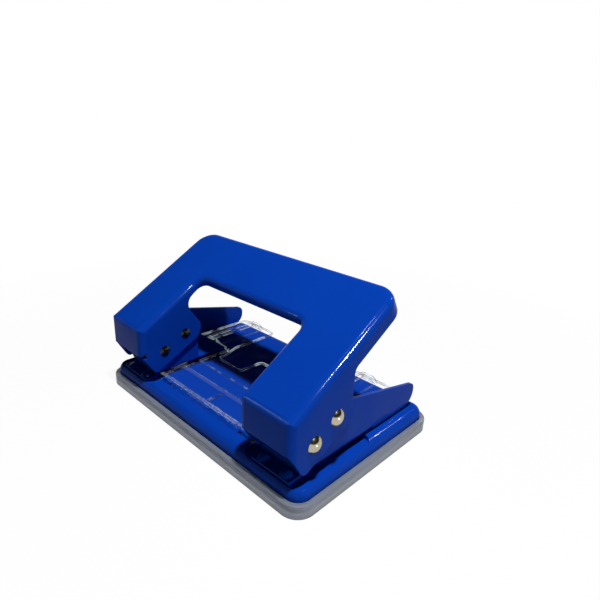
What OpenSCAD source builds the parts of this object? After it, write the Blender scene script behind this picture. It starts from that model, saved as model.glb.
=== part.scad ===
// Two-hole desk punch: pressed steel handle over two bracketed punches, on a steel base with a chip tray.
// X runs along the two holes, the front is -Y, the sheet enters from +Y, and Z = 0 is the table.

/* [Holes] */
// Distance between the two hole centres
hole_pitch = 80; // [78:0.5:84]
// Distance from the edge of the sheet to the hole centres
hole_margin = 12; // [11:0.5:13]
// Diameter of the punched hole
hole_d = 5.5; // [5:0.1:6]
// Distance from the front of the tray to the hole centres
hole_in = 21.1; // [20.9:0.1:22]

/* [Chip tray] */
// Length of the tray
tray_l = 111.4; // [110:0.2:120]
// Width of the tray, front to back
tray_w = 72.4; // [72:0.2:78]
// Height of the tray's rim
tray_h = 4.6; // [4:0.1:5.2]
// Thickness of the tray's floor
tray_floor = 1.5; // [1.2:0.1:1.8]
// Thickness of the tray's wall
tray_wall = 1.7; // [1.4:0.1:1.8]
// Corner radius of the tray
tray_r = 6.6; // [6:0.1:9]
// Gap between the tray's wall and the skirt of the base
tray_gap = 0.15; // [0.1:0.05:0.3]

/* [Base plate] */
// Height of the top of the base above the table
base_z = 9.2; // [9:0.1:10]
// Sheet thickness of the base
base_sheet = 1; // [0.8:0.1:1.2]
// Radius of the shoulder round the top of the base
shoulder_r = 3.6; // [3:0.1:4]
// Depth of the pressed pocket under each bracket
pocket_depth = 1.5; // [1.2:0.1:1.8]
// Room between a bracket and the side walls of its pocket
pocket_room = 2.7; // [2:0.1:3]
// Corner radius of the pocket
pocket_r = 3; // [2:0.5:4]

/* [Brackets] */
// Sheet thickness of a bracket
bracket_sheet = 1.2; // [1:0.1:1.4]
// Height of the slot that the sheet of paper enters
paper_slot = 1.3; // [1:0.1:1.6]
// Height of the brackets above the table at the drive pins
bracket_top = 29; // [28.5:0.1:30]
// Fall of the tail's upper edge, in degrees
tail_fall = 13; // [11:0.5:14]
// Distance from the hole centres to the end of the outer tail
tail_reach = 45.4; // [42:0.1:46]

/* [Handle] */
// Width of one leg of the handle
leg_w = 22.4; // [22:0.1:23]
// Sheet thickness of the handle
handle_sheet = 1; // [0.8:0.1:1]
// Distance from the pivot forward to the front wall of the legs
nose = 10.2; // [9.8:0.1:11]
// Height of the front fold above the pivot
fold_rise = 11.1; // [10.6:0.1:12]
// Height of the lower edge of the front walls above the pivot
flap_rise = 0.1; // [-0.2:0.1:1.2]
// Radius of the inner lower corner of the front walls
flap_r = 1.6; // [1:0.2:6]
// How far the cheeks reach under the pivot pins
cheek_drop = 8.6; // [8:0.1:9]
// How much higher the inner cheeks end
inner_lift = 0.6; // [0.3:0.1:1]
// Distance from the pivot forward to the front of the cheeks' lower edge
chin = 4.7; // [4.4:0.1:5]
// Length of that lower edge
chin_l = 1.7; // [1.4:0.1:2]
// Height of the cheeks' rear lower corner above the pivot
heel_rise = 1.1; // [0.8:0.1:1.6]
// Height of the arch between the inner cheeks and the window above the pivot
arch_rise = 17.8; // [17:0.1:18.4]
// Distance from the hole centres back to the rear edge of the outer cheeks
cheek_back = 6.1; // [5.6:0.1:7]
// Slope of the top plate in degrees
slope = 31; // [29:0.5:32]
// Length of the top plate along its slope
plate_l = 55.6; // [52:0.2:58]
// Depth of the grip bar along the slope
bar_l = 24.2; // [22:0.2:26]
// Radius of the grip bar's two rear corners
bar_r = 8; // [6:0.5:12]
// Radius of the window's two corners
window_r = 4; // [3:0.5:6]
// Outer radius of the bends
bend_r = 2.7; // [2:0.1:3]
// Depth of the flange round the grip bar
flange = 7; // [6:0.2:8]
// Depth of the flange at the window
window_flange = 3.8; // [3.4:0.2:5]

/* [Mechanism] */
// Height of the pivot pins above the table
pivot_z = 19.9; // [19.6:0.1:20.4]
// Distance from pivot pin to drive pin
arm = 10.78; // [10.4:0.01:11]
// Rise of the drive pin over the pivot pin at rest, in degrees
arm_rise = 25.9; // [24:0.1:27]
// Angle that the handle turns when pressed
press = 22; // [18:0.5:23]
// Spare length of the bracket's slots under the pressed drive pin
slot_spare = 1.1; // [0.5:0.1:1.4]
// Diameter of the pins
pin_d = 4; // [3.6:0.1:4.2]
// Diameter of the pins' domed heads
pin_head_d = 6; // [5.4:0.1:6.6]
// Diameter of the punch's head
head_d = 9.5; // [9:0.1:10]
// Wall of the punch's head over and under the drive pin
head_wall = 1.9; // [1.6:0.1:2.2]
// Depth of the hollow in the punch's cutting end
hollow = 0.8; // [0.5:0.1:1]
// How far the punch's cutting end stays inside its guide bush
tip_in = 0.3; // [0.2:0.1:0.5]
// Wire diameter of the return springs
wire_d = 0.7; // [0.5:0.05:0.8]
// Turns of a return spring
turns = 4; // [3:0.25:4]
// Thickness of the washer over the spring
washer_t = 0.8; // [0.6:0.1:1]
// How far the washer and the bush's flange reach past the spring
spring_rim = 0.3; // [0.1:0.1:0.5]
// Length of the guide bush above the bracket's web
bush_h = 2.8; // [2:0.1:3]
// Wall of the guide bush
bush_wall = 1.25; // [1:0.05:1.4]
// Thickness of the flange of the guide bush
bush_flange = 0.6; // [0.5:0.1:0.8]
// Outer diameter of the die's flange
die_d = 14; // [12:0.5:15]
// Outer diameter of the die's neck
die_neck_d = 9; // [8:0.2:10]
// Diameter of the rivets that hold the brackets
rivet_d = 3; // [2.6:0.1:3.2]
// Distance between the two rivets of a bracket
rivet_pitch = 10; // [9:0.5:11]
// Diameter of the rivets' domed heads
rivet_head_d = 4.4; // [4:0.1:4.8]
// Height of those heads
rivet_head_h = 1.2; // [0.8:0.1:1.4]
// Diameter of the rivets' flat ends under the base
rivet_end_d = 4.4; // [4:0.1:5]
// Thickness of those ends
rivet_end_h = 0.7; // [0.5:0.1:0.9]

/* [Paper guide] */
// Thickness of the clear guide
guide_t = 1; // [0.8:0.1:1.2]
// Width of the guide's front plate
guide_w = 55; // [52:0.5:56]
// Thickness of the guide's front wall, which stops the sheet
guide_wall = 1.6; // [1.4:0.1:1.8]
// Height of that wall over the plate
guide_lip = 0.6; // [0.4:0.1:1]
// Distance from the hole centres back to the wings
wing_back = 20.3; // [19:0.1:21]
// Length of the wings
wing_l = 27; // [22:0.5:28]
// Width of a wing
wing_w = 21.4; // [20:0.2:22]
// Distance between the two wings, which are alike and not mirrored
wing_pitch = 67.8; // [66:0.2:69]
// Distance from the left edge of a wing to its raised rib
rib_at = 6.1; // [5:0.1:7]
// Width of the top of that rib
rib_w = 5.3; // [4.6:0.1:6]
// Width of the slope on the rib's right side
rib_slope = 3.6; // [3:0.1:4]
// Height of the rib over the wing
rib_h = 1.5; // [1.2:0.1:1.8]
// Distance from the hole centres back to the rear edge of the front plate
plate_back = 12.4; // [11:0.2:14]
// Width of the links between the front plate and the wings
link_w = 3.4; // [3:0.1:4]
// Width of the tongue between the wings
middle_w = 19; // [16:0.5:24]
// Distance between the two pegs under the front wall
peg_pitch = 40; // [30:1:46]
// Diameter of those pegs
peg_d = 1.4; // [1.2:0.1:1.4]

/* [Clearances] */
// Gap between a handle cheek and the bracket cheek inside it
cheek_gap = 0.3; // [0.2:0.05:0.4]
// Radial clearance of a pin or punch that turns or slides
running = 0.05; // [0.03:0.01:0.1]
// Radial clearance of a pin, bush or rivet that is pressed in
snug = 0.03; // [0.02:0.01:0.05]
// Clearance over and under the drive pin in the punch's head
pin_play = 0.1; // [0.08:0.01:0.15]
// Play of the springs round the guide bushes
spring_play = 0.25; // [0.2:0.05:0.35]
// Gap between a rivet's head and the bracket's front wall
rivet_room = 0.1; // [0.05:0.05:0.2]
// Side play of the drive pins in the bracket's slots
slot_play = 0.17; // [0.12:0.01:0.25]

/* [Hidden] */
$fn = 48;
// Names of the pieces
// Length by which a cut runs past the face that it leaves
over = 1;

// Line of the holes, and the stop for the sheet's edge
hole_y = hole_in - tray_w / 2;
stop_y = hole_y - hole_margin;
hole_x = hole_pitch / 2;

// Pins and travel: the drive pins swing evenly before and behind the line of the holes
pivot_y = hole_y - arm * (cos(arm_rise) + cos(arm_rise - press)) / 2;
drive_y = pivot_y + arm * cos(arm_rise);
drive_z = pivot_z + arm * sin(arm_rise);
pressed_y = pivot_y + arm * cos(arm_rise - press);
pressed_z = pivot_z + arm * sin(arm_rise - press);
travel = drive_z - pressed_z;

// Base and tray
base_l = tray_l - 2 * (tray_wall + tray_gap);
base_w = tray_w - 2 * (tray_wall + tray_gap);
base_r = tray_r - tray_wall - tray_gap;
pocket_z = base_z - pocket_depth;
die_lip = 0.4;

// Bracket
web_z = base_z + paper_slot;
web_top = web_z + bracket_sheet;
bracket_w = leg_w - 2 * (handle_sheet + cheek_gap);
bracket_in = hole_x - bracket_w / 2;
bracket_out = hole_x + bracket_w / 2;
foot_top = pocket_z + bracket_sheet;
foot_l = rivet_head_d + 2 * rivet_room;
foot_inset = 1.6;
foot_front = stop_y - bracket_sheet - foot_l;
foot_y = stop_y - bracket_sheet - foot_l / 2;
web_back = hole_y + wing_back - cheek_gap;
slot_r = pin_d / 2 + (pressed_y - drive_y) / 2 + slot_play;
slot_y = (drive_y + pressed_y) / 2;

// Handle
leg_in = hole_x - leg_w / 2;
leg_out = hole_x + leg_w / 2;
nose_y = pivot_y - nose;
fold_z = pivot_z + fold_rise;
window_l = plate_l - bar_l;

// Punch, spring and washer
head_z = drive_z - pin_d / 2 - pin_play - head_wall;
head_top = drive_z + pin_d / 2 + pin_play + head_wall;
tip_z = web_z + tip_in;
bush_d = hole_d + 2 * running + 2 * bush_wall;
spring_z0 = web_top + bush_flange;
spring_z1 = head_z - washer_t;
spring_steps = 8;
spring_r = (bush_d / 2 + spring_play + wire_d / 2) / cos(180 / spring_steps);
washer_d = 2 * spring_r + wire_d + 2 * spring_rim;

// Guide
guide_top = web_z + guide_t;
wing_y = hole_y + wing_back;
wing_end = wing_y + wing_l;
wing_left = -(bracket_out - bracket_sheet - cheek_gap);
link_in = guide_w / 2 - link_w;
plate_end = hole_y + plate_back;

paint = [0.03, 0.2, 0.62];
steel = [0.72, 0.73, 0.75];
nickel = [0.8, 0.79, 0.74];
milky = [0.72, 0.74, 0.76, 0.85];
clear = [0.85, 0.9, 0.95, 0.4];

// Arc that rounds corner b between a and c
function unit(v) = v / norm(v);
function fillet(a, b, c, r, n = 6) =
    r <= 0 ? [b] :
    let (
        u = unit(a - b),
        v = unit(c - b),
        half = acos(u * v) / 2,
        mid = b + unit(u + v) * r / sin(half),
        start = b + u * r / tan(half) - mid,
        sweep = (cross(-u, v) > 0 ? 1 : -1) * (180 - 2 * half),
        a0 = atan2(start[1], start[0])
    )
    [for (k = [0:n]) mid + r * [cos(a0 + sweep * k / n), sin(a0 + sweep * k / n)]];

// Outline with a radius at each corner; p holds [x, y, radius]
function at(p, i) = let (q = p[(i + len(p)) % len(p)]) [q[0], q[1]];
function rounded(p) = [for (i = [0:len(p) - 1]) each fillet(at(p, i - 1), at(p, i), at(p, i + 1), p[i][2])];

// Point of the side view that lies s along the handle's top plate and d under it
function plate_yz(s, d) = [nose_y + s * cos(slope) + d * sin(slope), fold_z + s * sin(slope) - d * cos(slope)];
function corner(p, r) = [p[0], p[1], r];

// Side view outline (y, z) drawn out along X from x0 to x1
module side(x0, x1) {
    translate([x0, 0, 0])
        rotate([90, 0, 90])
            linear_extrude(x1 - x0)
                children();
}

// Round bar along X
module bar_x(d, x0, x1, y, z) {
    translate([x0, y, z])
        rotate([0, 90, 0])
            cylinder(d = d, h = x1 - x0);
}

// Rectangle with round corners, centred
module round_rect(l, w, r) {
    square([l - 2 * r, w], center = true);
    square([l, w - 2 * r], center = true);
    for (x = [-1, 1], y = [-1, 1])
        translate([x * (l / 2 - r), y * (w / 2 - r)])
            circle(r);
}

// Upright section of half width b and height h, with a round upper edge e
module half_section(b, h, e) {
    square([b - e, h]);
    square([b, h - e]);
    translate([b - e, h - e])
        intersection() {
            circle(e);
            square(e);
        }
}

// Block with round upright corners r and a round upper edge e
module pad(l, w, h, r, e) {
    for (m = [0, 1])
        mirror([m, 0, 0]) {
            rotate([90, 0, 0])
                linear_extrude(w - 2 * r, center = true)
                    half_section(l / 2, h, e);
            for (y = [-1, 1])
                translate([l / 2 - r, y * (w / 2 - r), 0])
                    rotate_extrude()
                        half_section(r, h, e);
        }
    for (m = [0, 1])
        mirror([0, m, 0])
            rotate([90, 0, 90])
                linear_extrude(l - 2 * r, center = true)
                    half_section(w / 2, h, e);
}

// What is cut from an edge to round it: the edge is at the origin, the material lies at -x and -y
module edge_cut(r) {
    difference() {
        translate([-r, -r])
            square(r + over);
        translate([-r, -r])
            circle(r);
    }
}

// Chip tray that snaps over the skirt of the base
module chip_tray() {
    color(milky)
        difference() {
            pad(tray_l, tray_w, tray_h, tray_r, 0.6);
            translate([0, 0, tray_floor])
                linear_extrude(tray_h)
                    round_rect(tray_l - 2 * tray_wall, tray_w - 2 * tray_wall, tray_r - tray_wall);
        }
}

// Plan of the pocket under one bracket, grown by g
module pocket_plan(side_x, g) {
    x0 = bracket_in - pocket_room;
    x1 = bracket_out + pocket_room;
    y0 = foot_front - 0.4;
    y1 = hole_y + wing_back - 3;
    translate([side_x * (x0 + x1) / 2, (y0 + y1) / 2])
        round_rect(x1 - x0 + 2 * g, y1 - y0 + 2 * g, pocket_r + g);
}

// Steel base: a pressed pan with a round shoulder and a pocket under each bracket
module base_plate() {
    skirt = base_z - tray_floor;
    color(paint)
        difference() {
            union() {
                translate([0, 0, tray_floor])
                    difference() {
                        pad(base_l, base_w, skirt, base_r, shoulder_r);
                        translate([0, 0, -over])
                            pad(base_l - 2 * base_sheet, base_w - 2 * base_sheet, skirt - base_sheet + over,
                                base_r - base_sheet, shoulder_r - base_sheet);
                    }
                intersection() {
                    translate([0, 0, tray_floor])
                        pad(base_l, base_w, skirt, base_r, shoulder_r);
                    for (s = [-1, 1])
                        translate([0, 0, pocket_z - base_sheet])
                            linear_extrude(pocket_depth + base_sheet)
                                pocket_plan(s, base_sheet);
                }
            }
            for (s = [-1, 1]) {
                translate([0, 0, pocket_z])
                    linear_extrude(pocket_depth + over)
                        pocket_plan(s, 0);
                translate([s * hole_x, hole_y, 0])
                    cylinder(d = die_neck_d + 2 * snug, h = base_z);
                for (r = [-1, 1])
                    translate([s * hole_x + r * rivet_pitch / 2, foot_y, 0])
                        cylinder(d = rivet_d + 2 * snug, h = base_z);
                translate([s * peg_pitch / 2, stop_y - guide_wall / 2, 0])
                    cylinder(d = peg_d + 2 * running, h = base_z + over);
            }
        }
}

// Outline of a bracket's outer cheek, with its long tail
function outer_cheek() =
    let (
        front = stop_y - bracket_sheet,
        end = hole_y + tail_reach,
        fall = tan(tail_fall)
    )
    rounded([
        [front, web_z, 0],
        [front, bracket_top - 1, 5],
        [hole_y - 4, bracket_top + 4 * fall, 8],
        [end, bracket_top - tail_reach * fall, 3],
        [end, web_z, 5]
    ]);

// Outline of a bracket's inner cheek, which ends under the handle
function inner_cheek() =
    let (
        front = stop_y - bracket_sheet,
        back = hole_y + cheek_back
    )
    rounded([
        [front, web_z, 0],
        [front, bracket_top - 1, 5],
        [back, bracket_top - 1, 5],
        [back, web_z, 1]
    ]);

// Right bracket: a steel channel whose web guides the punch, with a foot and a long tail
module bracket() {
    e = 1.8;
    color(paint)
        difference() {
            union() {
                side(bracket_out - bracket_sheet, bracket_out)
                    polygon(outer_cheek());
                side(bracket_in, bracket_in + bracket_sheet)
                    polygon(inner_cheek());
                translate([bracket_in, stop_y - bracket_sheet, web_z])
                    cube([bracket_w, web_back - stop_y + bracket_sheet, bracket_sheet]);
                translate([bracket_in + foot_inset, stop_y - bracket_sheet, pocket_z])
                    cube([bracket_w - 2 * foot_inset, bracket_sheet, web_z - pocket_z + bracket_sheet / 2]);
                translate([bracket_in + foot_inset, foot_front, pocket_z])
                    cube([bracket_w - 2 * foot_inset, foot_l + bracket_sheet, bracket_sheet]);
            }
            // Round lower bends of the channel
            for (m = [0, 1])
                translate([hole_x, 0, web_z])
                    mirror([m, 0, 0])
                        translate([bracket_w / 2, web_back + over, 0])
                            rotate([90, 0, 0])
                                linear_extrude(web_back - stop_y + bracket_sheet + 2 * over)
                                    mirror([0, 1])
                                        edge_cut(e / 2);
            // Hole for the guide bush
            translate([hole_x, hole_y, web_z - over])
                cylinder(d = bush_d + 2 * snug, h = bracket_sheet + 2 * over);
            // Holes for the rivets
            for (r = [-1, 1])
                translate([hole_x + r * rivet_pitch / 2, foot_y, pocket_z - over])
                    cylinder(d = rivet_d + 2 * snug, h = bracket_sheet + 2 * over);
            // Holes for the pivot pin and slots for the drive pin
            bar_x(pin_d + 2 * snug, bracket_in - over, bracket_out + over, pivot_y, pivot_z);
            side(bracket_in - over, bracket_out + over) {
                for (z = [drive_z, pressed_z - slot_spare])
                    translate([slot_y, z])
                        circle(slot_r);
                translate([slot_y - slot_r, pressed_z - slot_spare])
                    square([2 * slot_r, travel + slot_spare]);
            }
        }
}

// Die under the punch: a flanged bush swaged into the pocket
module die() {
    color(steel)
        translate([0, hole_y, 0])
            difference() {
                union() {
                    translate([0, 0, pocket_z])
                        cylinder(d = die_d, h = pocket_depth);
                    translate([0, 0, pocket_z - base_sheet - die_lip])
                        cylinder(d = die_neck_d, h = base_sheet + die_lip + over);
                }
                cylinder(d = hole_d + 2 * running, h = base_z + over);
                // Edge that eases the sheet on to the die
                translate([0, 0, base_z])
                    rotate_extrude()
                        translate([die_d / 2, 0])
                            edge_cut(0.6);
                // Relief that lets the chips drop
                translate([0, 0, pocket_z - base_sheet - die_lip - over])
                    cylinder(d = hole_d + 0.8, h = over + die_lip + base_sheet);
            }
}

// The two rivets of one bracket
module bracket_rivets() {
    color(steel)
        for (r = [-1, 1])
            translate([r * rivet_pitch / 2, foot_y, 0]) {
                translate([0, 0, pocket_z - base_sheet])
                    cylinder(d = rivet_d, h = base_sheet + bracket_sheet);
                translate([0, 0, foot_top])
                    dome(rivet_head_d, rivet_head_h);
                translate([0, 0, pocket_z - base_sheet - rivet_end_h])
                    cylinder(d = rivet_end_d, h = rivet_end_h);
            }
}

// Domed head of diameter d and height h, standing on Z = 0
module dome(d, h) {
    r = (d * d / 4 + h * h) / (2 * h);
    rotate_extrude()
        intersection() {
            translate([0, h - r])
                circle(r, $fn = 96);
            square([d / 2, h]);
        }
}

// Flanged bush in the bracket's web that keeps the punch upright
module guide_bush() {
    color(steel)
        translate([0, hole_y, web_z])
            difference() {
                union() {
                    cylinder(d = bush_d, h = bracket_sheet + bush_h);
                    translate([0, 0, bracket_sheet])
                        cylinder(d = washer_d, h = bush_flange);
                }
                translate([0, 0, -over])
                    cylinder(d = hole_d + 2 * running, h = bracket_sheet + bush_h + 2 * over);
            }
}

// Punch: a turned pin with a hollow-ground end, and a head slotted for the drive pin
module punch() {
    saddle = (hole_d * hole_d / 4 + hollow * hollow) / (2 * hollow);
    color(steel)
        difference() {
            translate([0, hole_y, 0]) {
                translate([0, 0, tip_z])
                    cylinder(d = hole_d, h = head_z - tip_z + over);
                translate([0, 0, head_z])
                    cylinder(d = head_d, h = head_top - head_z);
            }
            // Round upper edge of the head
            translate([0, hole_y, head_top])
                rotate_extrude()
                    translate([head_d / 2, 0])
                        edge_cut(1);
            // Slot that lets the drive pin follow its arc
            side(-head_d, head_d) {
                for (y = [drive_y, pressed_y])
                    translate([y, drive_z])
                        circle(pin_d / 2 + pin_play);
                translate([drive_y, drive_z - pin_d / 2 - pin_play])
                    square([pressed_y - drive_y, pin_d + 2 * pin_play]);
            }
            // Hollow ground end
            bar_x(2 * saddle, -head_d, head_d, hole_y, tip_z + hollow - saddle);
        }
}

// Points of the spring's wire: a helix between the bush and the washer
rings = spring_steps * turns;
spring_rise = spring_z1 - spring_z0 - wire_d;
function spring_point(k, dz = spring_rise) =
    [spring_r * cos(360 * k / spring_steps), hole_y + spring_r * sin(360 * k / spring_steps),
        spring_z0 + wire_d / 2 + dz * k / rings];
spring_gap = min([
    for (i = [0:rings], j = [0:rings])
        if (j - i > 4) norm(spring_point(i) - spring_point(j)) - wire_d
]);
echo(spring_gap = spring_gap);

// Return spring round the punch, one unbroken wire
module spring() {
    sides = 6;
    points = [
        for (k = [0:rings], s = [0:sides - 1])
            let (
                a = 360 * k / spring_steps,
                b = 360 * s / sides,
                out = [cos(a), sin(a), 0]
            )
            spring_point(k) + wire_d / 2 * (cos(b) * out + sin(b) * [0, 0, 1])
    ];
    skin = [
        for (k = [0:rings - 1], s = [0:sides - 1])
            let (
                p = k * sides + s,
                q = k * sides + (s + 1) % sides
            )
            each [[p, q, q + sides], [p, q + sides, p + sides]]
    ];
    ends = [
        for (s = [1:sides - 2])
            each [[0, s + 1, s], rings * sides * [1, 1, 1] + [0, s, s + 1]]
    ];
    color(steel)
        polyhedron(points, concat(skin, ends));
}

// Washer between the spring and the punch's head
module spring_washer() {
    color(steel)
        translate([0, hole_y, spring_z1])
            difference() {
                cylinder(d = washer_d, h = washer_t);
                translate([0, 0, -over])
                    cylinder(d = hole_d + 2 * running, h = washer_t + 2 * over);
            }
}

// Riveted pin across the right leg, domed outside and peened inside
module pin(y, z, gap) {
    head = 1.5;
    peen = 0.6;
    color(nickel) {
        bar_x(pin_d, leg_in - gap, leg_out + gap, y, z);
        translate([leg_out + gap, y, z])
            rotate([0, 90, 0])
                dome(pin_head_d, head);
        translate([leg_in - gap, y, z])
            rotate([0, -90, 0])
                dome(pin_d + 0.4, peen);
    }
}

// Plan of the handle on its top plate: two legs and the grip bar, drawn in by g
module handle_plan(g) {
    reach = 60;
    r = bar_r - g;
    w = window_r + g;
    difference() {
        union() {
            translate([-leg_out + g, -reach])
                square([2 * (leg_out - g), reach + plate_l - bar_r]);
            translate([-leg_out + bar_r, plate_l - bar_r - over])
                square([2 * (leg_out - bar_r), bar_r - g + over]);
            for (s = [-1, 1])
                translate([s * (leg_out - bar_r), plate_l - bar_r])
                    circle(r);
        }
        translate([-leg_in - g, -reach - over])
            square([2 * (leg_in + g), reach + over + window_l - window_r]);
        translate([-leg_in + window_r, 0])
            square([2 * (leg_in - window_r), window_l + g]);
        for (s = [-1, 1])
            translate([s * (leg_in - window_r), window_l - window_r])
                circle(w);
    }
}

// What rounds the upper edges all round that plan, drawn in by g
module handle_edges(g) {
    reach = 60;
    r = bend_r - g;
    for (m = [0, 1])
        mirror([m, 0, 0]) {
            // Outer edge of a leg
            translate([leg_out - g, plate_l - bar_r, 0])
                rotate([90, 0, 0])
                    linear_extrude(reach)
                        edge_cut(r);
            // Rear corner of the grip bar
            translate([leg_out - bar_r, plate_l - bar_r, 0])
                rotate_extrude(angle = 90)
                    translate([bar_r - g, 0])
                        edge_cut(r);
            // Inner edge of a leg
            translate([leg_in + g, window_l - window_r, 0])
                rotate([90, 0, 0])
                    linear_extrude(reach)
                        mirror([1, 0])
                            edge_cut(r);
            // Corner of the window
            translate([leg_in - window_r, window_l - window_r, 0])
                rotate_extrude(angle = 90)
                    translate([window_r + g, 0])
                        mirror([1, 0])
                            edge_cut(r);
        }
    // Rear edge and window edge of the grip bar
    translate([-leg_out + bar_r, plate_l - g, 0])
        rotate([90, 0, 90])
            linear_extrude(2 * (leg_out - bar_r))
                edge_cut(r);
    translate([-leg_in + window_r, window_l + g, 0])
        rotate([90, 0, 90])
            linear_extrude(2 * (leg_in - window_r))
                mirror([1, 0])
                    edge_cut(r);
}

// Full-depth block of the handle, drawn in by g on every outer face
module handle_block(g) {
    deep = 70;
    top = plate_yz(0, g);
    knee = [nose_y + g, top[1] + (nose_y + g - top[0]) * tan(slope)];
    far = plate_yz(plate_l + deep, g);
    difference() {
        intersection() {
            side(-leg_out - over, leg_out + over)
                polygon(rounded([
                    [nose_y + g, 0, 0],
                    corner(knee, bend_r - g),
                    corner(far, 0),
                    [far[0], 0, 0]
                ]));
            translate([0, nose_y, fold_z])
                rotate([slope, 0, 0])
                    translate([0, 0, -deep])
                        linear_extrude(2 * deep)
                            handle_plan(g);
        }
        translate([0, nose_y, fold_z])
            rotate([slope, 0, 0])
                translate([0, 0, -g])
                    handle_edges(g);
        // Upright bends between the front walls and the cheeks
        for (x = [-1, 1], m = [0, 1])
            translate([x * hole_x, nose_y + g, 0])
                mirror([m, 0, 0])
                    translate([leg_w / 2 - g, 0, 0])
                        linear_extrude(fold_z + deep)
                            mirror([0, 1])
                                edge_cut(bend_r - g);
    }
}

// Lower outline that the outer cheeks, the grip bar's ends and the front walls keep
function outer_keep() =
    let (
        back = hole_y + cheek_back,
        neck = (back - nose_y - flange * sin(slope)) / cos(slope)
    )
    rounded([
        [nose_y - over, pivot_z + flap_rise, 0],
        [nose_y + 0.4 * handle_sheet, pivot_z + flap_rise, 1],
        [pivot_y - chin, pivot_z - cheek_drop, 2],
        [pivot_y - chin + chin_l, pivot_z - cheek_drop, 1.5],
        [back, pivot_z + heel_rise, 4],
        corner(plate_yz(neck, flange), 3),
        corner(plate_yz(window_l + bar_l / 3, flange), 0),
        corner(plate_yz(plate_l + bar_r, flange), 0),
        corner(plate_yz(plate_l + bar_r, -bar_r), 0),
        corner(plate_yz(-bar_r, -bar_r), 0)
    ]);

// Lower outline that the inner cheeks and the window's flange keep
function inner_keep() =
    let (back = hole_y + cheek_back)
    rounded([
        [nose_y - over, pivot_z + flap_rise, 0],
        [nose_y + 0.4 * handle_sheet, pivot_z + flap_rise, 1],
        [pivot_y - chin, pivot_z - cheek_drop + inner_lift, 2],
        [pivot_y - chin + chin_l, pivot_z - cheek_drop + inner_lift, 1.5],
        [back, pivot_z + heel_rise + handle_sheet, 4],
        [back + handle_sheet, pivot_z + flange, 3],
        [hole_y - 0.5 * handle_sheet, pivot_z + arch_rise, 4.5],
        corner(plate_yz(window_l - handle_sheet, window_flange), 0),
        corner(plate_yz(window_l + bar_l / 3, window_flange), 0),
        corner(plate_yz(window_l + bar_l / 3, flange), 0),
        corner(plate_yz(plate_l + bar_r, flange), 0),
        corner(plate_yz(plate_l + bar_r, -bar_r), 0),
        corner(plate_yz(-bar_r, -bar_r), 0)
    ]);

// Handle: one pressed steel shell with two legs, a grip bar and flanges all round
module handle() {
    color(paint)
        difference() {
            intersection() {
                difference() {
                    handle_block(0);
                    handle_block(handle_sheet);
                }
                union() {
                    for (m = [0, 1])
                        mirror([m, 0, 0])
                            side(hole_x, leg_out + over)
                                polygon(outer_keep());
                    side(-hole_x, hole_x)
                        polygon(inner_keep());
                }
            }
            // Round inner corner of the front walls
            for (m = [0, 1])
                mirror([m, 0, 0])
                    translate([leg_in + flap_r, nose_y + bend_r, pivot_z + flap_rise + flap_r])
                        rotate([90, 0, 0])
                            linear_extrude(bend_r + over)
                                difference() {
                                    translate([-flap_r - over, -flap_r - over])
                                        square(flap_r + over);
                                    circle(flap_r);
                                }
            // Holes for the pins
            for (m = [0, 1])
                mirror([m, 0, 0]) {
                    bar_x(pin_d + 2 * running, leg_in - over, leg_out + over, pivot_y, pivot_z);
                    bar_x(pin_d + 2 * snug, leg_in - over, leg_out + over, drive_y, drive_z);
                }
        }
}

// Plan of the clear guide's front plate with its middle tongue and the links to the wings
function guide_plate() =
    let (
        front = stop_y - guide_wall,
        end = wing_left + wing_w,
        near = min(end, -guide_w / 2),
        far = min(guide_w / 2, wing_left + wing_pitch + rib_at + guide_t)
    )
    rounded([
        [-guide_w / 2, front, 0.6],
        [guide_w / 2, front, 0.6],
        [guide_w / 2, plate_end, 0],
        [far, wing_y + over, 0],
        [far - link_w, wing_y + over, 0],
        [link_in, plate_end, 1],
        [middle_w / 2, plate_end - 0.4, 1],
        [middle_w / 2, wing_y + 3, 2],
        [-middle_w / 2, wing_y + 3, 2],
        [-middle_w / 2, plate_end - 0.4, 1],
        [-link_in, plate_end, 1],
        [-link_in, plate_end + link_w, 1],
        [end, wing_y + link_w, 0],
        [near - link_w, wing_y + link_w, 0],
        [near - link_w, wing_y + over, 0],
        [near, wing_y, 0],
        [-guide_w / 2, plate_end, 0]
    ]);

// Plan of a wing or its rib between x0 and x1, with rear corners of radius r0 and r1
function wing_plan(x0, x1, y1, r0, r1) =
    rounded([[x0, wing_y, 0], [x1, wing_y, 0], [x1, y1, r1], [x0, y1, r0]]);

// Section of a wing's raised rib, drawn in by g
function rib_section(g) =
    let (
        top = guide_top + rib_h - g,
        foot = g > 0 ? web_z - over : web_z,
        x1 = rib_w + rib_slope - 1.3 * g
    )
    rounded([
        [g, foot, 0],
        [x1, foot, 0],
        [x1, guide_top - g, 0],
        [rib_w - 0.4 * g, top, 1.5],
        [g, top, 0.6]
    ]);

// That rib drawn out from y0 to y1
module rib(g, y0, y1) {
    translate([rib_at, y1, 0])
        rotate([90, 0, 0])
            linear_extrude(y1 - y0)
                polygon(rib_section(g));
}

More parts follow.
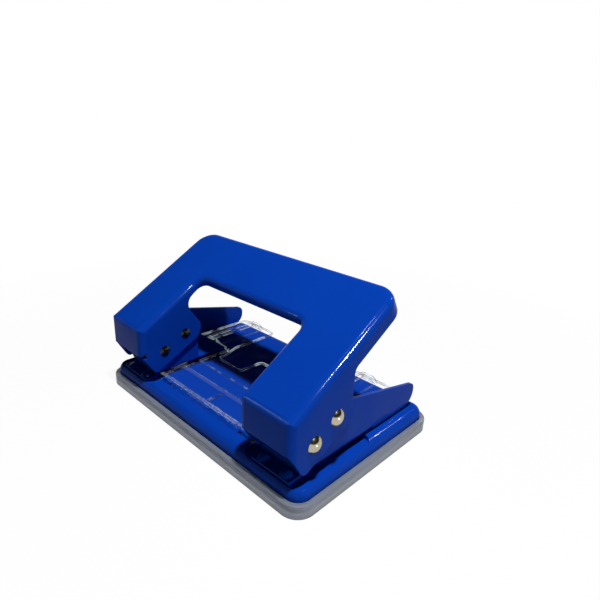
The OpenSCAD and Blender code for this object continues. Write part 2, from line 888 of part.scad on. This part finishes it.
// Clear guide over the sheet: front wall, plate with centre mark, and two ribbed wings
module paper_guide() {
    groove = 0.4;
    rib_end = wing_end - 0.7;
    color(clear)
        difference() {
            union() {
                translate([0, 0, web_z])
                    linear_extrude(guide_t)
                        polygon(guide_plate());
                translate([-guide_w / 2, stop_y - guide_wall, base_z])
                    cube([guide_w, guide_wall, guide_top + guide_lip - base_z]);
                for (x = [wing_left, wing_left + wing_pitch])
                    translate([x, 0, 0]) {
                        translate([0, 0, web_z])
                            linear_extrude(guide_t)
                                polygon(wing_plan(0, wing_w, wing_end, 3, 2));
                        intersection() {
                            rib(0, wing_y, wing_end);
                            translate([0, 0, web_z])
                                linear_extrude(guide_t + rib_h + over)
                                    polygon(wing_plan(rib_at, rib_at + rib_w + rib_slope, rib_end, 2, 3));
                        }
                    }
                for (s = [-1, 1])
                    translate([s * peg_pitch / 2, stop_y - guide_wall / 2, 0]) {
                        translate([0, 0, base_z - base_sheet - 0.2])
                            cylinder(d = peg_d, h = base_sheet + 0.2 + over);
                        translate([0, 0, base_z - base_sheet - 1])
                            cylinder(d1 = peg_d, d2 = peg_d + 0.8, h = 0.8);
                    }
            }
            // Room under the ribs, open to the front
            for (x = [wing_left, wing_left + wing_pitch])
                translate([x, 0, 0])
                    rib(guide_t, wing_y - over, rib_end - guide_t);
            // Shallow band over the line of the holes, and the centre mark
            translate([-guide_w / 2 - over, hole_y - 2.2, guide_top - groove])
                cube([guide_w + 2 * over, 6.9, groove + over]);
            translate([-0.4, hole_y - 10.7, guide_top - groove])
                cube([0.8, 7.1, groove + over]);
        }
}

// One piece of the left side, built as its mirror image or moved over
module left_mirror() {
    mirror([1, 0, 0])
        children();
}

chip_tray();
base_plate();
left_mirror() bracket();  // left_bracket
bracket();  // right_bracket
translate([-hole_x, 0, 0]) die();  // left_die
translate([hole_x, 0, 0]) die();  // right_die
translate([-hole_x, 0, 0]) bracket_rivets();  // left_bracket_rivets
translate([hole_x, 0, 0]) bracket_rivets();  // right_bracket_rivets
translate([-hole_x, 0, 0]) guide_bush();  // left_guide_bush
translate([hole_x, 0, 0]) guide_bush();  // right_guide_bush
paper_guide();
handle();
left_mirror() pin(pivot_y, pivot_z, 0.1);  // left_pivot_pin
pin(pivot_y, pivot_z, 0.1);  // right_pivot_pin
left_mirror() pin(drive_y, drive_z, 0);  // left_drive_pin
pin(drive_y, drive_z, 0);  // right_drive_pin
translate([-hole_x, 0, 0]) punch();  // left_punch
translate([hole_x, 0, 0]) punch();  // right_punch
translate([-hole_x, 0, 0]) spring();  // left_spring
translate([hole_x, 0, 0]) spring();  // right_spring
translate([-hole_x, 0, 0]) spring_washer();  // left_spring_washer
translate([hole_x, 0, 0]) spring_washer();  // right_spring_washer
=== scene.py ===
import math

import bmesh
import bpy
from mathutils import Euler, Matrix, Vector


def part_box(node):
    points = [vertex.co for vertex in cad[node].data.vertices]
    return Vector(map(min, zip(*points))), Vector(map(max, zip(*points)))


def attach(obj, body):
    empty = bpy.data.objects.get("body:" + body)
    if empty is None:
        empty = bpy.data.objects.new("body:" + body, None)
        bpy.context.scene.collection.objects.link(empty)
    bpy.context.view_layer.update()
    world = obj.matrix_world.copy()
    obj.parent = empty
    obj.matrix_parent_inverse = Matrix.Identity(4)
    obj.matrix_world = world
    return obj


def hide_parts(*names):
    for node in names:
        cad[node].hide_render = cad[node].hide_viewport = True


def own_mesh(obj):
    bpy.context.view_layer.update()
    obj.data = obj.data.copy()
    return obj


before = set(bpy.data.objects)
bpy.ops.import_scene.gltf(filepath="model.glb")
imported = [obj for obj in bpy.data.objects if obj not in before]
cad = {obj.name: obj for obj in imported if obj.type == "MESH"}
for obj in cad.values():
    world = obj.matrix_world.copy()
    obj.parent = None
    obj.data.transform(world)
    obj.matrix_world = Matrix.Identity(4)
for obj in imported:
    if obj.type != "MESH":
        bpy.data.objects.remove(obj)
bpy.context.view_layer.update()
print("frame loaded with", len(cad), "nodes")


# Shader maths: a wire is one output socket, and sums on wires become Math nodes

class Wire:
    def __init__(self, finish, socket):
        self.finish = finish
        self.socket = socket

    def sums(self, operation, *terms):
        return self.finish.node("ShaderNodeMath", {"operation": operation}, dict(enumerate(terms)))

    def __add__(self, other):
        return self.sums("ADD", self, other)

    def __radd__(self, other):
        return self.sums("ADD", other, self)

    def __sub__(self, other):
        return self.sums("SUBTRACT", self, other)

    def __rsub__(self, other):
        return self.sums("SUBTRACT", other, self)

    def __mul__(self, other):
        return self.sums("MULTIPLY", self, other)

    def __rmul__(self, other):
        return self.sums("MULTIPLY", other, self)

    def __lt__(self, other):
        return self.sums("LESS_THAN", self, other)

    def __gt__(self, other):
        return self.sums("GREATER_THAN", self, other)

    def __abs__(self):
        return self.sums("ABSOLUTE", self)

    def most(self, other):
        return self.sums("MAXIMUM", self, other)

    def within(self, low, high):
        return self.sums("COMPARE", self, (low + high) / 2, (high - low) / 2)


class Finish:
    def __init__(self, name, owner=None):
        self.material = owner or bpy.data.materials.new(name)
        self.material.use_nodes = True
        self.tree = self.material.node_tree
        self.tree.nodes.clear()

    def node(self, kind, settings=None, sockets=None, output=0):
        made = self.tree.nodes.new(kind)
        for key, value in (settings or {}).items():
            if key == "stops":
                ramp = made.color_ramp
                while len(ramp.elements) < len(value):
                    ramp.elements.new(0.5)
                for stop, (place, level) in zip(ramp.elements, value):
                    stop.position = place
                    stop.color = (level, level, level, 1)
            else:
                setattr(made, key, value)
        for key, value in (sockets or {}).items():
            if isinstance(value, Wire):
                self.tree.links.new(value.socket, made.inputs[key])
            else:
                made.inputs[key].default_value = value
        return Wire(self, made.outputs[output]) if made.outputs else None

    def place(self, scale=(1, 1, 1), location=(0, 0, 0)):
        spot = self.node("ShaderNodeTexCoord", output="Object")
        return self.node("ShaderNodeMapping", None, {"Vector": spot, "Location": location, "Scale": scale})

    def axis(self, vector, name):
        return self.node("ShaderNodeSeparateXYZ", None, {0: vector}, name)

    def length(self, vector):
        return self.node("ShaderNodeVectorMath", {"operation": "LENGTH"}, {0: vector}, "Value")

    def noise(self, vector, scale, detail):
        return self.node("ShaderNodeTexNoise", None, {"Vector": vector, "Scale": scale, "Detail": detail})

    def ramp(self, value, stops):
        return self.node("ShaderNodeValToRGB", {"stops": stops}, {"Fac": value})

    def blendColour(self, factor, a, b):
        return self.node("ShaderNodeMix", {"data_type": "RGBA"}, {0: factor, 6: a, 7: b}, 2)

    def eased(self, radius, samples):
        return self.node("ShaderNodeBevel", {"samples": samples}, {"Radius": radius})

    def bump(self, height, strength, distance, normal=None):
        sockets = {"Height": height, "Strength": strength, "Distance": distance}
        if normal:
            sockets["Normal"] = normal
        return self.node("ShaderNodeBump", None, sockets)

    def done(self, sockets):
        skin = self.node("ShaderNodeBsdfPrincipled", None, sockets)
        self.node("ShaderNodeOutputMaterial", None, {"Surface": skin})
        return self.material


def opaque(colour):
    return tuple(colour) + (1.0,)


# Camera at the photograph's angle

cameraSetup = {
    "place": (0.127484, -0.116156, 0.108704),
    "turn": (69.4802, -2.5391, 44.0717),    # degrees
    "lens": 29.506,
    "sensor": 36,
    "nearest": 0.005,
}
cameraData = bpy.data.cameras.new("camera")
cameraData.lens = cameraSetup["lens"]
cameraData.sensor_width = cameraSetup["sensor"]
cameraData.clip_start = cameraSetup["nearest"]
camera = bpy.data.objects.new("camera", cameraData)
camera.location = cameraSetup["place"]
camera.rotation_euler = Euler([math.radians(a) for a in cameraSetup["turn"]])
bpy.context.scene.collection.objects.link(camera)
bpy.context.scene.camera = camera
bpy.context.scene.view_settings.view_transform = "Standard"
print("camera set")


# Floor, backdrop and light

studio = {
    "floorSize": 7.0,
    "wallRadius": 3.0,
    "wallHeight": 1.25,
    "wallSegments": 64,
    "bounce": 0.60,                 # grey that the floor and wall give back to the object
    "shade": 0.07,                  # share of the lit floor, with the object's shadow, in what the eye sees
    "shadeReach": (0.07, 0.24),     # distances from the middle over which that share fades out
    "worldGrey": 0.02,
    "lamps": {
        "topLamp": {"place": (0.10, -0.034, 0.42), "aim": (0.0, -0.005, 0.02), "size": 0.03, "power": 1.65},
        "sideLamp": {"place": (0.33, -0.02, 0.03), "aim": (0.03, 0.0, 0.02), "size": 0.02, "power": 0.14},
    },
    "cards": {
        "sideCard": {
            "place": (0.27, 0.0, 0.28), "aim": (0.03, 0.0, 0.02), "size": 0.055, "power": 15.0,
            "tint": (0.8, 0.93, 1.0)},
        "rearCard": {
            "place": (0.165, 0.292, 0.272), "aim": (0.03, 0.0, 0.02), "size": 0.012, "power": 2.0,
            "tint": (0.9, 0.96, 1.0)},
        "frontCard": {
            "place": (-0.08, -0.175, 0.085), "aim": (0.04, -0.033, 0.036), "size": 0.07, "power": 0.5,
            "tint": (0.45, 0.75, 1.0), "only": "handle"},
    },
}


def lamp(name, setup):
    data = bpy.data.lights.new(name, "AREA")
    data.shape = "DISK"
    data.size = setup["size"]
    data.energy = setup["power"]
    data.cycles.use_multiple_importance_sampling = False    # with it, lamps count twice beside linked cards
    made = bpy.data.objects.new(name, data)
    made.location = setup["place"]
    away = Vector(setup["place"]) - Vector(setup["aim"])
    made.rotation_euler = away.to_track_quat("Z", "Y").to_euler()
    bpy.context.scene.collection.objects.link(made)
    return made


for name, setup in studio["lamps"].items():
    lamp(name, setup)


def paleStage():
    f = Finish("paleStage")
    straight, gloss, through = [
        f.node("ShaderNodeLightPath", output="Is " + kind + " Ray")
        for kind in ("Camera", "Glossy", "Transmission")]
    seen = straight.most(gloss).most(through)
    near, far = studio["shadeReach"]
    share = f.ramp(f.length(f.place()), [(near, studio["shade"]), (far, 0.0)])
    glow = f.node("ShaderNodeEmission", None, {"Color": (1, 1, 1, 1), "Strength": 1.0})
    lit = f.node("ShaderNodeBsdfDiffuse", None, {"Color": (1, 1, 1, 1)})
    dim = f.node("ShaderNodeBsdfDiffuse", None, {"Color": opaque([studio["bounce"]] * 3)})
    shown = f.node("ShaderNodeMixShader", None, {0: share, 1: glow, 2: lit})
    both = f.node("ShaderNodeMixShader", None, {0: seen, 1: dim, 2: shown})
    f.node("ShaderNodeOutputMaterial", None, {"Surface": both})
    return f.material


pale = paleStage()


def stagePiece(name, shape):
    mesh = bpy.data.meshes.new(name)
    shape.to_mesh(mesh)
    shape.free()
    mesh.materials.append(pale)
    made = bpy.data.objects.new(name, mesh)
    bpy.context.scene.collection.objects.link(made)


shape = bmesh.new()
bmesh.ops.create_grid(shape, x_segments=1, y_segments=1, size=studio["floorSize"] / 2)
stagePiece("floor", shape)
shape = bmesh.new()
bmesh.ops.create_cone(shape, cap_ends=False, segments=studio["wallSegments"], radius1=studio["wallRadius"],
                      radius2=studio["wallRadius"], depth=2 * studio["wallHeight"])
stagePiece("wall", shape)

world = bpy.data.worlds.new("studio")
bpy.context.scene.world = world
sky = Finish("studio", world)
room = sky.node("ShaderNodeBackground", None, {"Color": (1, 1, 1, 1), "Strength": studio["worldGrey"]})
sky.node("ShaderNodeOutputWorld", None, {"Surface": room})
print("floor and light set")


# Finishes: a noise is given as its scale and detail, a bump as its strength and distance

def blueEnamel():
    look = {
        "deep": (0.0016, 0.042, 0.375),
        "light": (0.0026, 0.052, 0.425),
        "drift": (28.0, 3.0),
        "peel": (760.0, 1.5),
        "peelHeight": 0.5,
        "wave": (260.0, 1.0),
        "waveHeight": 2.0,
        "swell": (100.0, 0.0),
        "swellHeight": 15.0,
        "specks": (2600.0, 1.0),
        "speckStops": [(0.70, 0.0), (0.78, 1.0)],
        "rub": (3.0, 4.0),
        "rubStretch": (60, 900, 300),
        "rubStops": [(0.58, 0.0), (0.80, 1.0)],
        "rough": 0.09,
        "driftRough": 0.04,
        "speckRough": 0.08,
        "rubRough": 0.06,
        "bump": (0.10, 0.0002),
        "edge": 0.00025,
        "edgeSamples": 6,
        "gloss": 0.02,
    }
    f = Finish("blueEnamel")
    spot = f.place()
    drift, peel, wave, swell = [f.noise(spot, *look[kind]) for kind in ("drift", "peel", "wave", "swell")]
    specks = f.ramp(f.noise(spot, *look["specks"]), look["speckStops"])
    rub = f.ramp(f.noise(f.place(scale=look["rubStretch"]), *look["rub"]), look["rubStops"])
    base = f.blendColour(drift, opaque(look["deep"]), opaque(look["light"]))
    rough = (look["rough"] + drift * look["driftRough"] + specks * look["speckRough"]
             + rub * look["rubRough"])
    height = peel * look["peelHeight"] + wave * look["waveHeight"] + swell * look["swellHeight"]
    relief = f.bump(height, *look["bump"], f.eased(look["edge"], look["edgeSamples"]))
    return f.done({
        "Base Color": base, "Roughness": rough, "Specular IOR Level": look["gloss"], "Normal": relief})


def nickelPlate(name, middle):
    look = {
        "dark": (0.38, 0.34, 0.24),
        "light": (0.56, 0.52, 0.40),
        # painted shade: the near-black colour of the heads that face the inside
        "inner": (0.03, 0.03, 0.03),
        "innerFrom": 0.036,             # heads nearer to the middle than this face the dark inside, and their colour is a painted shade
        "haze": (300.0, 3.0),
        "scratch": (1.0, 3.0),
        "scratchStretch": (400, 400, 4000),
        "scratchHeight": 0.00001,
        "dome": 60.0,                   # how fast a head falls away from its middle
        "rough": 0.12,
        "hazeRough": 0.10,
        "scratchRough": 0.05,
        "bump": (1.0, 1.0),
    }
    f = Finish(name)
    spot = f.place()
    haze = f.noise(spot, *look["haze"])
    scratch = f.noise(f.place(scale=look["scratchStretch"]), *look["scratch"])
    plate = f.blendColour(haze, opaque(look["dark"]), opaque(look["light"]))
    # painted shade: heads that face the inside get a near-black colour for the dark they reflect
    inner = abs(f.axis(spot, "X")) < look["innerFrom"]
    base = f.blendColour(inner, plate, opaque(look["inner"]))
    reach = f.length(f.place(scale=(0, 1, 1), location=(0, -middle.y, -middle.z)))
    relief = scratch * look["scratchHeight"] - reach * reach * look["dome"]
    rough = look["rough"] + haze * look["hazeRough"] + scratch * look["scratchRough"]
    return f.done({
        "Base Color": base, "Metallic": 1.0, "Roughness": rough, "Normal": f.bump(relief, *look["bump"])})


def brightSteel():
    look = {
        "dark": (0.46, 0.47, 0.48),
        "light": (0.62, 0.63, 0.64),
        "cloud": (420.0, 3.0),
        "turned": (1.0, 2.0),
        "turnedStretch": (200, 200, 9000),
        "rough": 0.24,
        "turnedRough": 0.16,
        "cloudRough": 0.06,
        "bump": (0.12, 0.0001),
    }
    f = Finish("brightSteel")
    cloud = f.noise(f.place(), *look["cloud"])
    turned = f.noise(f.place(scale=look["turnedStretch"]), *look["turned"])
    base = f.blendColour(cloud, opaque(look["dark"]), opaque(look["light"]))
    rough = look["rough"] + turned * look["turnedRough"] + cloud * look["cloudRough"]
    return f.done({
        "Base Color": base, "Metallic": 1.0, "Roughness": rough, "Normal": f.bump(turned, *look["bump"])})


def milkyPlastic(height):
    look = {
        # painted shade: the tray is coloured darker at its foot and lighter towards its crown
        "foot": (0.14, 0.16, 0.20),
        "crown": (0.42, 0.46, 0.56),
        "paintedShadeStops": [(0.0, 0.0), (0.80, 0.9), (1.0, 0.4)],     # painted shade, from foot to crown over the tray's height: darker towards the foot
        "cloud": (60.0, 3.0),
        "cloudRise": 0.12,
        "grain": (2200.0, 2.0),
        "rough": 0.42,
        "grainRough": 0.12,
        "through": 0.45,
        "bending": 1.46,
        "gloss": 0.15,
        "bump": (0.10, 0.0002),
        "edge": 0.0006,
        "edgeSamples": 8,
    }
    f = Finish("milkyPlastic")
    spot = f.place()
    cloud = f.noise(spot, *look["cloud"])
    grain = f.noise(spot, *look["grain"])
    # painted shade: the colour runs with the height from the dark foot to the crown
    rise = f.ramp(f.axis(spot, "Z") * (1.0 / height), look["paintedShadeStops"]) + cloud * look["cloudRise"]
    base = f.blendColour(rise, opaque(look["foot"]), opaque(look["crown"]))
    relief = f.bump(grain, *look["bump"], f.eased(look["edge"], look["edgeSamples"]))
    return f.done({
        "Base Color": base, "Roughness": look["rough"] + grain * look["grainRough"],
        "Transmission Weight": look["through"], "IOR": look["bending"], "Specular IOR Level": look["gloss"],
        "Normal": relief})


def clearPlastic(low, high):
    look = {
        "pale": (0.58, 0.69, 0.82),
        "white": (0.84, 0.91, 0.95),
        "shade": (0.04, 0.04, 0.045),       # painted reflection: dark stretches of the rims
        "glow": (0.045, 0.056, 0.06),       # painted glow on bright stretches of the rims
        # brighter painted glow on the wings' rims
        "paintedWingGlow": (0.28, 0.33, 0.36),
        "scuff": (2.0, 4.0),
        "scuffStretch": (900, 90, 300),
        "scuffStops": [(0.60, 0.0), (0.82, 1.0)],
        "speck": (900.0, 3.0),
        "speckStops": [(0.42, 0.0), (0.62, 1.0)],
        "patch": (230.0, 2.0),
        "patchStops": [(0.44, 0.0), (0.54, 1.0)],
        "rim": 0.0007,
        "wingRim": 0.0014,
        "rimSamples": 6,
        "rimStops": [(0.01, 0.0), (0.14, 1.0)],
        "lipDepth": 0.0019,                 # these four are measured from the guide's front and top
        "lipHeight": 0.0013,
        "ridge": (0.0107, 0.0118),
        "wingFrom": 0.033,
        "plateSide": 0.0276,
        "film": 0.002,                      # how much each kind of surface covers what is behind it
        "scuffCover": 0.008,
        "rimCover": 0.35,
        "wingCover": 0.15,
        "patchCover": 0.25,
        "speckCover": 0.20,
        "frontFade": 0.5,
        "lipFrost": 0.08,
        "speckFrost": 0.12,
        "ridgeFrost": 0.05,
        "rimMetal": 0.75,
        "rough": 0.10,
        "scuffRough": 0.15,
        "bending": 1.49,
    }
    f = Finish("clearPlastic")
    spot = f.place()
    scuff = f.ramp(f.noise(f.place(scale=look["scuffStretch"]), *look["scuff"]), look["scuffStops"])
    speck = f.ramp(f.noise(spot, *look["speck"]), look["speckStops"])
    patch = f.ramp(f.noise(spot, *look["patch"]), look["patchStops"])

    # Rims are where a rounded normal leaves the flat one
    flat = f.node("ShaderNodeNewGeometry", output="True Normal")
    bend, wingBend = [f.eased(look[size], look["rimSamples"]) for size in ("rim", "wingRim")]
    slim, wide = [f.ramp(
        1.0 - f.node("ShaderNodeVectorMath", {"operation": "DOT_PRODUCT"}, {0: turned, 1: flat}, "Value"),
        look["rimStops"]) for turned in (bend, wingBend)]
    across, along, up = [f.axis(spot, name) for name in "XYZ"]
    front = along < low.y + look["lipDepth"]
    top = up > high.z - look["lipHeight"]
    wing = along > low.y + look["wingFrom"]
    edge = slim.most(wing * wide)

    # Frost on the front wall's lip and on the ridge of the plate
    near, far = look["ridge"]
    ridge = along.within(low.y + near, low.y + far)
    inside = across.within(-look["plateSide"], look["plateSide"])
    frost = (front * top * (look["lipFrost"] + speck * look["speckFrost"])
             + ridge * inside * look["ridgeFrost"])

    body = f.blendColour(speck, opaque(look["pale"]), opaque(look["white"]))
    # painted reflection: the rims turn near-black where the patch noise is low
    base = f.blendColour(edge, body, f.blendColour(patch, opaque(look["shade"]), body))
    rimCover = (look["rimCover"] + wing * look["wingCover"] + patch * look["patchCover"]
                + speck * look["speckCover"])
    cover = (look["film"] + scuff * look["scuffCover"] + edge * (1.0 - front * look["frontFade"]) * rimCover
             + frost)
    # painted glow: bright stretches of the rims emit light though the plastic is no lamp, more on the wings
    lit = f.blendColour(wing * patch, opaque(look["glow"]), opaque(look["paintedWingGlow"]))
    glow = f.blendColour(edge * patch, (0, 0, 0, 1), lit)
    return f.done({
        "Base Color": base, "Metallic": edge * look["rimMetal"],
        "Roughness": look["rough"] + scuff * look["scuffRough"], "Alpha": cover, "IOR": look["bending"],
        "Emission Color": glow, "Emission Strength": 1.0, "Normal": bend})


def middleOf(node):
    low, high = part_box(node)
    return (low + high) / 2


enamel = blueEnamel()
pivotNickel = nickelPlate("pivotNickel", middleOf("right_pivot_pin"))
driveNickel = nickelPlate("driveNickel", middleOf("right_drive_pin"))
steel = brightSteel()
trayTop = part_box("chip_tray")[1].z
milky = milkyPlastic(trayTop)
clear = clearPlastic(*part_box("paper_guide"))
finishOf = {
    "handle": enamel, "base_plate": enamel, "bracket": enamel, "chip_tray": milky, "paper_guide": clear,
    "pivot_pin": pivotNickel, "drive_pin": driveNickel, "bracket_rivets": enamel,
}
for name, piece in cad.items():
    kind = name.split("_", 1)[1] if name.startswith(("left_", "right_")) else name
    piece.data.materials.clear()
    piece.data.materials.append(finishOf.get(kind, steel))
print("finishes set")


# Bright cards that only the gloss of the enamel shows

enamelled = [name for name, piece in cad.items() if piece.data.materials[0] == enamel]
for name, setup in studio["cards"].items():
    card = lamp(name, setup)
    card.data.color = setup["tint"]
    card.visible_diffuse = False
    shown = bpy.data.collections.new(name + "Shown")
    for node in [setup["only"]] if "only" in setup else enamelled:
        shown.objects.link(cad[node])
    card.light_linking.receiver_collection = shown
print("cards set")


# Return springs: one wound wire each, standing for the CAD springs

springSetup = {
    "turns": 4,
    "steps": 32,        # around one turn
    "sides": 12,        # around the wire
    "wire": 0.0007,
    "weld": 1e-7,
    "keep": 0.465,      # share of its length that a pressed spring keeps
}
for side in ("left", "right"):
    low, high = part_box(side + "_spring")
    middle = (low + high) / 2
    thick = springSetup["wire"] / 2
    ring = (high.x - low.x) / 2 - thick
    steps = springSetup["turns"] * springSetup["steps"]
    bottom = low.z + thick
    rise = (high.z - thick) - bottom
    shape = bmesh.new()
    start = Matrix.Translation((middle.x + ring, middle.y, bottom)) @ Matrix.Rotation(math.pi / 2, 4, "X")
    bmesh.ops.create_circle(shape, cap_ends=True, segments=springSetup["sides"], radius=thick, matrix=start)
    bmesh.ops.spin(shape, geom=shape.faces[:] + shape.edges[:] + shape.verts[:], cent=(middle.x, middle.y, 0),
                   axis=(0, 0, 1), dvec=(0, 0, rise / steps), angle=2 * math.pi * springSetup["turns"],
                   steps=steps, use_duplicate=False)
    bmesh.ops.remove_doubles(shape, verts=shape.verts, dist=springSetup["weld"])
    bmesh.ops.recalc_face_normals(shape, faces=shape.faces)
    mesh = bpy.data.meshes.new(side + "SpringWire")
    shape.to_mesh(mesh)
    shape.free()
    mesh.polygons.foreach_set("use_smooth", [True] * len(mesh.polygons))
    mesh.materials.append(steel)
    coil = bpy.data.objects.new(side + "SpringWire", mesh)
    bpy.context.scene.collection.objects.link(coil)
    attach(coil, side + "_punch_body")
    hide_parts(side + "_spring")
    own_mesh(coil)
print("springs wound")
